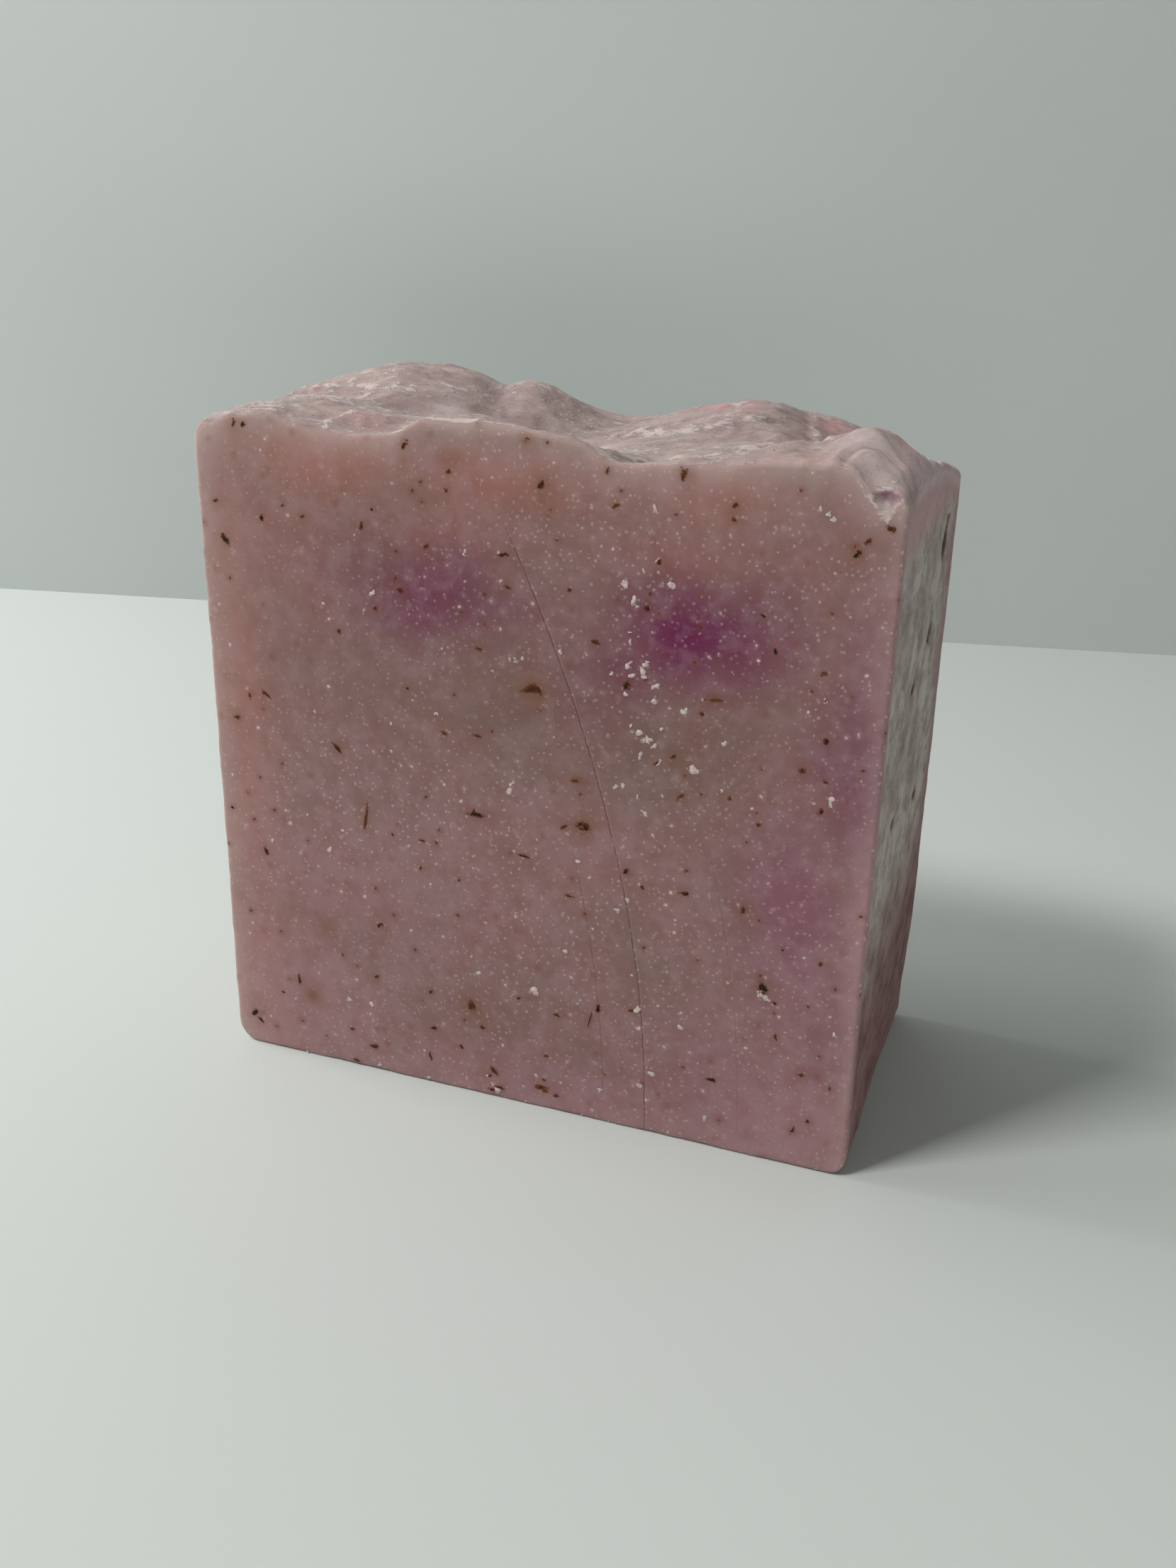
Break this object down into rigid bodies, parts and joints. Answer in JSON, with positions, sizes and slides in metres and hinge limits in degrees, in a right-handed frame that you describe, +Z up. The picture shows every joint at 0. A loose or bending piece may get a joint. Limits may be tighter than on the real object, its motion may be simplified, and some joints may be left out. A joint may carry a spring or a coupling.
{
  "type": "bar of soap",
  "caption": "Upright slab of handmade soap with flat cut faces, smooth mould walls and a swirled, wavy top with a chipped corner.",
  "frame": {"origin": "middle of the flat base, under the middle of the bar", "axes": "+X across the bar from the left mould wall to the right one, +Y from the front cut to the back cut, +Z up to the swirled top"},
  "size_m": [0.07, 0.034, 0.0737],
  "materials": {
    "soap": "waxy satin, slightly translucent mauve pink with pale grains and brown herb flecks"
  },
  "bodies": {
    "root": {"soap_bar": "soap"}
  },
  "joints": []
}
